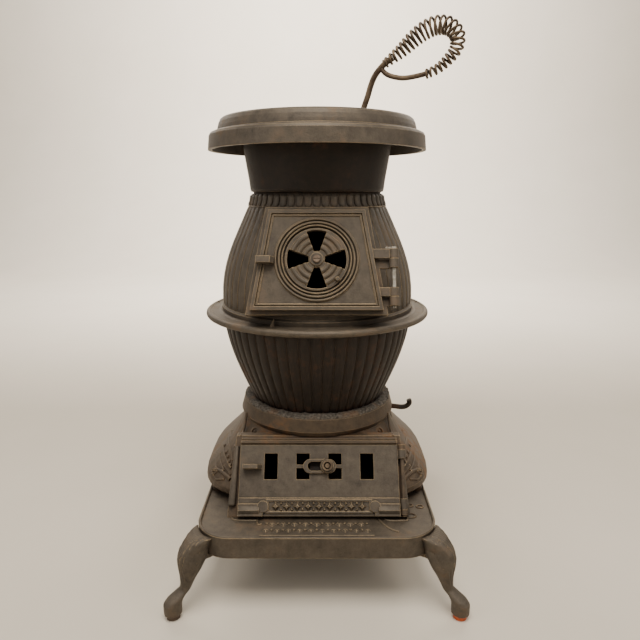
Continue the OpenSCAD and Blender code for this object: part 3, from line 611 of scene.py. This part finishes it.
def cleared(piece):
    """The piece without what is in the way, its cut ends filled."""
    take(piece)
    bpy.ops.object.transform_apply(location=True)
    mark_faces(piece, in_the_way)
    bpy.ops.mesh.delete(type="FACE")
    bpy.ops.mesh.select_all(action="SELECT")
    bpy.ops.mesh.fill_holes(sides=0)
    bpy.ops.object.mode_set(mode="OBJECT")
    return piece


neck_line = feed_high.z - 19 * MM
neck_radius = radius_at("feed_section", neck_line)
feed_ribs = cleared(ribs("feed_section", feed_low.z + 11 * MM, neck_line - 1.5 * MM, 1.4 * MM, 0.88, 26))
settle(feed_ribs, "feed_section_ribs", "stove", "plate_iron", 60)
neck_ribs = ribs("feed_section", neck_line + 0.5 * MM, feed_high.z - 1 * MM, 2.6 * MM, 0.86, 6, 0.5)
settle(neck_ribs, "neck_pillow_ribs", "stove", "plate_iron", 60)
nothing_selected()
bpy.ops.mesh.primitive_torus_add(major_radius=neck_radius + 0.4 * MM, minor_radius=1.3 * MM,
                                 major_segments=144, minor_segments=10,
                                 location=(pot_axis.x, pot_axis.y, neck_line))
neck_bead = bpy.context.object
edit(neck_bead)
bpy.ops.transform.resize(value=(1, 1, 0.7), center_override=neck_bead.location)
settle(neck_bead, "neck_bead", "stove", "plate_iron", 60)

# %% [markdown]
# ## Crumbling cement
# The pot stands in the collar in a bed of furnace cement, which has cracked and crumbled over the
# collar's edge. A torus gives the bead; pushing its points in and out with two scales of noise makes it
# lumpy, the same each time.

# %% Lay the cement
nothing_selected()
collar_radius = (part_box("cement_ring")[1].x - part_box("cement_ring")[0].x) / 2
bpy.ops.mesh.primitive_torus_add(major_radius=collar_radius + 2 * MM, minor_radius=8.5 * MM,
                                 major_segments=420, minor_segments=28,
                                 location=(pot_axis.x, pot_axis.y, collar_high.z - 1.8 * MM))
cement = bpy.context.object
edit(cement)
bpy.ops.transform.resize(value=(1, 1, 0.5), center_override=cement.location)
bpy.ops.object.mode_set(mode="OBJECT")
for vertex in cement.data.vertices:
    spot = (cement.location + vertex.co) / MM
    lump = noise.noise(spot / 8) * 1.7 + noise.noise(spot / 2.6) * 1.5
    vertex.co += MM * lump * vertex.normal
settle(cement, "crumbled_cement", "stove", "cement", 80)
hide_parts("cement_ring")

# %% [markdown]
# ## Lines laid on a casting
# Beads, leaves and frames are ridges that follow a curved wall. Each is drawn as a smooth path through
# a few points. Every point is dropped onto the casting by a ray, the path gets a round section that can
# taper, and half of it sinks into the wall, as if cast with it.

# %% Helper that draws a ridge through points


def straight(first, second, steps=6):
    """Evenly spaced points from first to second."""
    return [first.lerp(second, step / steps) for step in range(steps + 1)]


def ridge(points, thickness, taper=(1.0, 1.0), closed=False):
    """A round ridge through the points, its thickness changing from end to end by the taper."""
    nothing_selected()
    bpy.ops.curve.primitive_nurbs_path_add(location=(0, 0, 0))
    path = bpy.context.object
    spline = path.data.splines[0]
    fewest = len(spline.points)
    if len(points) > fewest:
        spline.points.add(len(points) - fewest)
    if len(points) < fewest:
        points = straight(points[0], points[-1], fewest - 1)
    last = len(points) - 1
    for index, (knot, point) in enumerate(zip(spline.points, points)):
        knot.co = (*point, 1)
        knot.radius = taper[0] + (taper[1] - taper[0]) * index / last
    spline.order_u = 4
    spline.use_endpoint_u = not closed
    spline.use_cyclic_u = closed
    spline.resolution_u = 5
    path.data.bevel_depth = thickness
    path.data.bevel_resolution = 3
    path.data.use_fill_caps = not closed
    bpy.ops.object.convert(target="MESH")
    return bpy.context.object


# %% [markdown]
# ## Ornament of the ash pit
# The flanks of the ash pit carry flowing ribs, a chain of small leaves and one curled leaf, the same on
# both sides. Their points are given as depth and height, in millimetres, and found on the flank from
# the side. The right side is the same list seen from the other side.

# %% Draw the flowing ribs and the curled leaf
flank_lines = [
    ([(10, 169), (-17, 172), (-36, 173.5), (-57, 172)], 2.4, (1.0, 0.6)),
    ([(-8, 164), (-29, 166), (-46, 166.5), (-65, 164.5), (-80, 160)], 2.2, (0.9, 0.6)),
    ([(-18, 156), (-37, 157), (-55, 157), (-68, 156.5), (-82, 154), (-90, 152.5)], 2.4, (0.7, 1.0)),
    ([(-25, 144), (-42, 145), (-55, 143.5), (-68, 142)], 2.1, (0.6, 1.0)),
    ([(-39, 152), (-55, 150.5), (-67, 149), (-77, 147.5), (-86, 146)], 2.1, (0.6, 1.1)),
    ([(-67, 138), (-71, 140), (-77, 142.5), (-84, 144), (-91, 143.5), (-99, 142.5), (-103, 141)],
     3.4, (0.6, 1.1)),
    ([(-78, 150), (-85.5, 149.5), (-92.5, 148.5), (-98, 146)], 2.4, (1.0, 0.6)),
    ([(-66, 135), (-72, 134.5), (-78.5, 134), (-86.5, 132.5), (-91, 133), (-93, 136.5), (-98, 138)],
     2.0, (0.5, 1.0)),
]
leaf_chain = [(-26, 159.5), (-52, 160.5), (-65.5, 160), (-76.5, 157.5), (-84, 155.5)]


def on_flank(side, depth, height):
    """Point of the flank at a depth and height, found from the side."""
    return drop("ash_pit", (side * 0.4, depth * MM, height * MM), (-side, 0, 0))


def curl(side, depth, height, size, turns=1.3):
    """Points of a spiral on the flank."""
    points = []
    steps = 14
    for step in range(steps + 1):
        angle = 2 * math.pi * turns * step / steps
        reach = size * (1 - 0.78 * step / steps)
        points.append(on_flank(side, depth + reach * math.cos(angle), height + reach * math.sin(angle)))
    return points


for side, word in ((-1, "left"), (1, "right")):
    drawn = []
    for points, thickness, taper in flank_lines:
        placed = [on_flank(side, depth, height) for depth, height in points]
        drawn.append(ridge(placed, thickness * MM, taper))
    drawn.append(ridge(curl(side, -73, 137, 6.5), 2.4 * MM, (1.0, 0.7)))
    for depth, height in leaf_chain:
        spot = on_flank(side, depth, height)
        nothing_selected()
        bpy.ops.mesh.primitive_uv_sphere_add(segments=12, ring_count=8, radius=3.2 * MM, location=spot)
        bud = bpy.context.object
        edit(bud)
        bpy.ops.transform.resize(value=(0.8, 1.3, 0.75), center_override=spot)
        bpy.ops.object.mode_set(mode="OBJECT")
        bpy.ops.object.transform_apply(location=True)
        drawn.append(bud)
    settle(joined(drawn), f"ash_pit_leaf_{word}", "stove", "rust_iron", 60)

# %% [markdown]
# ## Shoulder of the ash pit
# Above the ash door the shoulder has two straight beads, and in each of its corners a rosette inside a
# drawn triangle that follows the collar.

# %% Draw the beads and the rosettes
overhead = 300 * MM
shoulder = []
for v, w, thickness in ((53.2, 0.6, 2.2), (58.6, -2.4, 2.2)):
    ends = [ash_plane.at(-115, v, w), ash_plane.at(115, v, w)]
    shoulder.append(ridge(straight(*ends), thickness * MM))
for side in (-1, 1):
    corner = [(113, -31), (116.5, -45), (118, -62), (116.5, -80), (114.5, -94)]
    line = [drop("ash_pit", (side * x * MM, y * MM, overhead), (0, 0, -1)) for x, y in corner]
    shoulder.append(ridge(line, 1.9 * MM))
    spot = drop("ash_pit", (side * 97 * MM, -62 * MM, overhead), (0, 0, -1))
    nothing_selected()
    bpy.ops.mesh.primitive_torus_add(major_radius=6.4 * MM, minor_radius=1.7 * MM, major_segments=28,
                                     minor_segments=8, location=spot, rotation=(0.6, side * 0.5, 0))
    ring = bpy.context.object
    bpy.ops.object.transform_apply(location=True, rotation=True)
    bpy.ops.mesh.primitive_uv_sphere_add(segments=16, ring_count=8, radius=2.6 * MM, location=spot)
    button = bpy.context.object
    bpy.ops.object.transform_apply(location=True)
    shoulder += [ring, button]
settle(joined(shoulder), "ash_pit_shoulder_trim", "stove", "rust_iron", 60)

# %% [markdown]
# ## Jambs beside the ash door
# A round bar runs down each side of the door opening to the hearth and ends in a rounded foot. It is a
# cylinder with a bevelled end, laid along the slope.

# %% Set the jambs
jamb_sizes = [
    {"head_u": -121.5, "foot_u": -125.5, "foot_v": -36, "head_radius": 3.6, "foot_radius": 5.6},
    {"head_u": 119.5, "foot_u": 127, "foot_v": -46, "head_radius": 2.6, "foot_radius": 3.6},
]
jambs = []
for jamb in jamb_sizes:
    head = ash_plane.at(jamb["head_u"], 49, -6.5)
    foot = ash_plane.at(jamb["foot_u"], jamb["foot_v"], -4.5)
    run = foot - head
    nothing_selected()
    bpy.ops.mesh.primitive_cone_add(vertices=24, radius1=jamb["head_radius"] * MM,
                                    radius2=jamb["foot_radius"] * MM, depth=run.length,
                                    location=(head + foot) / 2,
                                    rotation=run.to_track_quat("Z", "Y").to_euler())
    bar = bpy.context.object
    edit(bar)
    bpy.ops.mesh.select_all(action="DESELECT")
    bpy.ops.object.mode_set(mode="OBJECT")
    for face in bar.data.polygons:
        face.select = len(face.vertices) > 4
    bpy.ops.object.mode_set(mode="EDIT")
    bpy.ops.mesh.bevel(offset=jamb["head_radius"] * 0.6 * MM, segments=5, affect="EDGES")
    bpy.ops.object.mode_set(mode="OBJECT")
    bpy.ops.object.transform_apply(location=True, rotation=True)
    jambs.append(bar)
settle(joined(jambs), "ash_door_jambs", "stove", "plate_iron", 50)

# %% [markdown]
# ## Foot band of the ash door
# The ends of the door's foot band are shaped like six-sided bars, and between them a framed panel holds
# a raised pattern. A plain row of lozenges and buttons fills it here.

# %% Shape the band's bars and the panel's pattern
band_v = -42
band = []
for side in (-1, 1):
    ends = [ash_plane.at(side * u, band_v, 0.5) for u in (85, 115)]
    run = ends[1] - ends[0]
    nothing_selected()
    bpy.ops.mesh.primitive_cylinder_add(vertices=6, radius=7.6 * MM, depth=run.length,
                                        location=(ends[0] + ends[1]) / 2,
                                        rotation=run.to_track_quat("Z", "Y").to_euler())
    bar = bpy.context.object
    edit(bar)
    bpy.ops.mesh.bevel(offset=0.7 * MM, segments=2, affect="EDGES")
    bpy.ops.object.mode_set(mode="OBJECT")
    bpy.ops.object.transform_apply(location=True, rotation=True)
    band.append(bar)
settle(joined(band), "ash_door_band_ends", "ash_door", "plate_iron", 30)

panel_v, pitch, lozenges = -36.6, 15.4, 9
pattern = []


def stud_on_panel(vertices, foot, head, depth, place):
    nothing_selected()
    bpy.ops.mesh.primitive_cone_add(vertices=vertices, radius1=foot * MM, radius2=head * MM, depth=depth * MM,
                                    location=ash_plane.at(*place), rotation=ash_plane.turn())
    pattern.append(bpy.context.object)
    bpy.ops.object.transform_apply(location=True, rotation=True)


for index in range(lozenges):
    u = (index - lozenges // 2) * pitch
    stud_on_panel(4, 6.4, 2.6, 3.4, (u, panel_v, 4.6))
    if index < lozenges - 1:
        for rise in (-4.2, 4.2):
            stud_on_panel(12, 1.9, 1.0, 3.0, (u + pitch / 2, panel_v + rise, 4.4))
settle(joined(pattern), "ash_door_panel_pattern", "ash_door", "plate_iron", 30)

# %% [markdown]
# ## Lines and holes of the hearth
# In front of the door the hearth carries a shallow cartouche: a frame of thin lines, open curves at its
# corners and two rows of small studs. A bead follows the hearth's edge all round, and to the right of
# the door lie the raised lips of three pockets.

# %% Draw the hearth's cartouche and bead
hearth = []


def on_hearth(points):
    return [Vector((x * MM, y * MM, plate_top)) for x, y in points]


hearth_lines = [
    [(-121.5, -150), (-121.5, -157), (-121.5, -163), (-104, -163), (-86, -163)],
    [(-85, -158), (-84.5, -165), (-84, -172), (-81, -175), (-78, -172)],
    [(88, -160), (90, -164), (96, -177), (104, -186), (113, -190)],
    [(97, -160), (101, -164), (112, -163.5), (120, -163), (129, -163)],
    [(129, -163), (129, -158), (129, -153), (129, -149), (129, -146)],
    [(-78, -199), (-40, -199), (0, -199), (40, -199), (78, -199)],
]
for points in hearth_lines:
    hearth.append(ridge(on_hearth(points), 1.5 * MM))
stud_step = 7.8
for row, (y, size) in enumerate(((-172, 6.2), (-187, 5.0))):
    for index in range(-9, 10):
        big = (index + row) % 2 == 0
        nothing_selected()
        bpy.ops.mesh.primitive_cone_add(vertices=4 if big else 12, radius1=(size if big else 2.4) * MM,
                                        radius2=(0.4 * size if big else 1.2) * MM, depth=2.6 * MM,
                                        location=(index * stud_step * MM, y * MM, plate_top + 1.0 * MM))
        stud = bpy.context.object
        bpy.ops.object.transform_apply(location=True)
        hearth.append(stud)
settle(joined(hearth), "hearth_cartouche", "stove", "plate_iron", 35)


def plate_edge(inset, height, corner, steps=8):
    """Closed line round the hearth, inset from its edge."""
    half_w, half_d = plate_high.x - inset, plate_high.y - inset
    points = []
    for quarter in range(4):
        middle_x = (half_w - corner) * (1 if quarter in (0, 3) else -1)
        middle_y = (half_d - corner) * (1 if quarter in (0, 1) else -1)
        for step in range(steps + 1):
            angle = math.pi / 2 * (quarter + step / steps)
            x = middle_x + corner * math.cos(angle)
            y = middle_y + corner * math.sin(angle)
            points.append(Vector((x, y, height)))
    return points


edge_bead = ridge(plate_edge(1.8 * MM, plate_top + 1.2 * MM, 48 * MM), 1.7 * MM, closed=True)
settle(edge_bead, "hearth_edge_bead", "stove", "plate_iron", 60)

# %% Sink the pockets beside the door
pockets = []
for x, y, wide, deep in ((137, -125, 5.5, 3.6), (152, -128, 5, 3.8), (134, -151, 8.5, 5.5)):
    spot = Vector((x * MM, y * MM, plate_top + 0.4 * MM))
    nothing_selected()
    bpy.ops.mesh.primitive_torus_add(major_radius=1, minor_radius=0.22, major_segments=32, minor_segments=8,
                                     location=spot)
    lip = bpy.context.object
    edit(lip)
    bpy.ops.transform.resize(value=(wide * MM, deep * MM, 5 * MM), center_override=spot)
    bpy.ops.object.mode_set(mode="OBJECT")
    bpy.ops.object.transform_apply(location=True)
    pockets.append(lip)
settle(joined(pockets), "hearth_pocket_lips", "stove", "rust_iron", 60)

# %% [markdown]
# ## Carved knees
# Each leg is a cabriole with a swelling knee, cut with fine wavy grooves like combed hair. The packed
# leg has the right form but a coarse skin, so a copy of it is welded, remeshed finely and smoothed. Its
# points then move in and out along a wavy pattern round the knee, which fades out towards the ankle.

# %% Carve the four legs
knee_low, knee_high = 34 * MM, 66 * MM
leg_angle = math.radians(33)


def carved_leg(node):
    """A fine, smooth copy of a leg with wavy grooves on its knee."""
    nothing_selected()
    nodes[node].select_set(True)
    bpy.context.view_layer.objects.active = nodes[node]
    bpy.ops.object.duplicate()
    leg = bpy.context.object
    leg.parent = None
    for key in list(leg.keys()):
        del leg[key]
    edit(leg)
    bpy.ops.mesh.remove_doubles(threshold=0.00001)
    bpy.ops.object.mode_set(mode="OBJECT")
    fine = leg.modifiers.new("fine", "REMESH")
    fine.mode = "VOXEL"
    fine.voxel_size = 1.0 * MM
    bpy.ops.object.modifier_apply(modifier="fine")
    soft = leg.modifiers.new("soft", "SMOOTH")
    soft.factor = 0.6
    soft.iterations = 4
    bpy.ops.object.modifier_apply(modifier="soft")
    low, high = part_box(node)
    outward = Vector((math.copysign(math.cos(leg_angle), low.x),
                      math.copysign(math.sin(leg_angle), low.y), 0))
    sideways = Vector((-outward.y, outward.x, 0))
    knee = Vector(((low.x + high.x) / 2, (low.y + high.y) / 2, 0))
    front = math.copysign(1, sideways.dot(Vector((0, math.copysign(1, low.y), 0))))
    for vertex in leg.data.vertices:
        spread = (vertex.co - knee).dot(sideways) * front
        if spread > 0 and vertex.co.z > knee_high:
            hold = min(1, (vertex.co.z - knee_high) / (25 * MM))
            vertex.co -= 0.5 * hold * spread * front * sideways
        away = vertex.co - knee
        s, t = away.dot(outward) / MM, away.dot(sideways) / MM
        rise = min(1, max(0, (vertex.co.z - knee_low) / (knee_high - knee_low)))
        facing = min(1, max(0, vertex.normal.dot(outward) + 0.75))
        height = vertex.co.z / MM
        wave = t + 3 * math.sin(height / 13 + 0.1 * s) + 0.2 * t * math.sin(height / 16)
        groove = abs(math.sin(wave * 0.72)) ** 0.6
        vertex.co += MM * (1.5 * groove - 1.3) * rise * facing * vertex.normal
    return leg


for node in ("leg_front_left", "leg_front_right", "leg_rear_left", "leg_rear_right"):
    leg = carved_leg(node)
    settle(leg, "carved_" + node, "stove", "plate_iron", 80)
    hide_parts(node)

# %% [markdown]
# ## The lifter's coil
# The handle is a spring of thin wire wound in 28 turns, which stays cool to the hand. It swells towards
# the far side of its loop. The wire's centre line is worked out turn by turn round the loop's own
# curve, and a round section with 12 sides makes it smooth.

# %% Wind the coil
lifter_place = Vector((66 * MM, -14 * MM, top_high.z - 6 * MM))
lifter_turn = Matrix.Rotation(math.radians(-24.7), 3, "Z")
loop_points = [(32, 74), (46.3, 82.6), (60, 92), (73, 102.4), (87.4, 111), (103.4, 115.5),
               (119.5, 112.8), (131, 101), (131, 85), (120.8, 72), (107.6, 61.8), (92, 56)]
TURNS, STEPS_PER_TURN, WIRE = 28, 16, 1.65


def through(points, place):
    """Smooth curve through points, at a place from 0 to the last point's number."""
    index = min(int(place), len(points) - 2)
    part = place - index
    a, b, c, d = (Vector(points[min(max(index + k, 0), len(points) - 1)]) for k in (-1, 0, 1, 2))
    bend = (2 * a - 5 * b + 4 * c - d) * part ** 2 + (3 * b - a - 3 * c + d) * part ** 3
    return 0.5 * (2 * b + (c - a) * part + bend)


def coil_point(share):
    """Point of the wire's centre line, from 0 at the lower end to 1."""
    last = len(loop_points) - 1
    here = through(loop_points, share * last)
    before = through(loop_points, max(share - 0.01, 0) * last)
    after = through(loop_points, min(share + 0.01, 1) * last)
    along = (after - before).normalized()
    angle = 2 * math.pi * TURNS * share
    reach = 5 + 6.4 * math.sin(math.pi * share ** 0.75) ** 1.6 + 0.2 * share
    across, sideways = reach * math.cos(angle), reach * math.sin(angle)
    flat = (here.x - across * along.y, sideways, here.y + across * along.x)
    return lifter_place + lifter_turn @ (MM * Vector(flat))


steps = TURNS * STEPS_PER_TURN
coil = ridge([coil_point(step / steps) for step in range(steps + 1)], WIRE * MM)
settle(coil, "lifter_spring", "lifter", "lifter_steel", 60)
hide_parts("lifter_coil")

# %% [markdown]
# ## A tooth on the flange
# A thin tooth left by the mould stands on the flange in front.

# %% Add the tooth
nothing_selected()
flange_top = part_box("pot_flange")[1].z
tooth_spot = Vector((-60.6 * MM, -122 * MM, flange_top + 3 * MM))
bpy.ops.mesh.primitive_cone_add(vertices=5, radius1=3.6 * MM, radius2=0.6 * MM, depth=14 * MM,
                                location=tooth_spot, rotation=(0, 0.25, 0.4))
tooth = bpy.context.object
edit(tooth)
bpy.ops.transform.resize(value=(1, 0.45, 1), center_override=tooth_spot)
settle(tooth, "flange_tooth", "stove", "plate_iron", 30)
